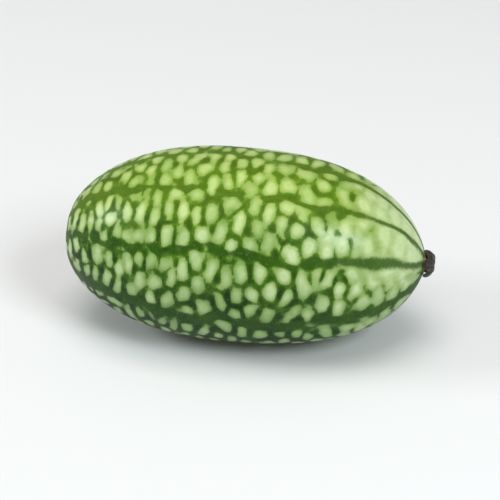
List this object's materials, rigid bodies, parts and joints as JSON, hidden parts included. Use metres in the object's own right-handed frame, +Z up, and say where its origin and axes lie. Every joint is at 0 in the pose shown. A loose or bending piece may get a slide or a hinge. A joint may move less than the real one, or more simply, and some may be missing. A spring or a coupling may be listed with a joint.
{
  "type": "cucamelon",
  "caption": "Small oval green cucamelon lying on its side, with shallow ribs, a stalk scar and a dried blossom at its tip.",
  "frame": {"origin": "on the surface that the fruit rests on, under the middle of its box", "axes": "+X along the fruit from its stalk end to its blossom end, +Z up, +Y across it"},
  "size_m": [0.0324, 0.0174, 0.0168],
  "materials": {
    "fruit_skin": "smooth waxy rind, pale green with a dark green net and ten dark green stripes from end to end",
    "dried_blossom": "dry, matt, black-brown and crumpled"
  },
  "bodies": {
    "root": {"fruit": "fruit_skin", "dried_blossom": "dried_blossom"}
  },
  "joints": []
}
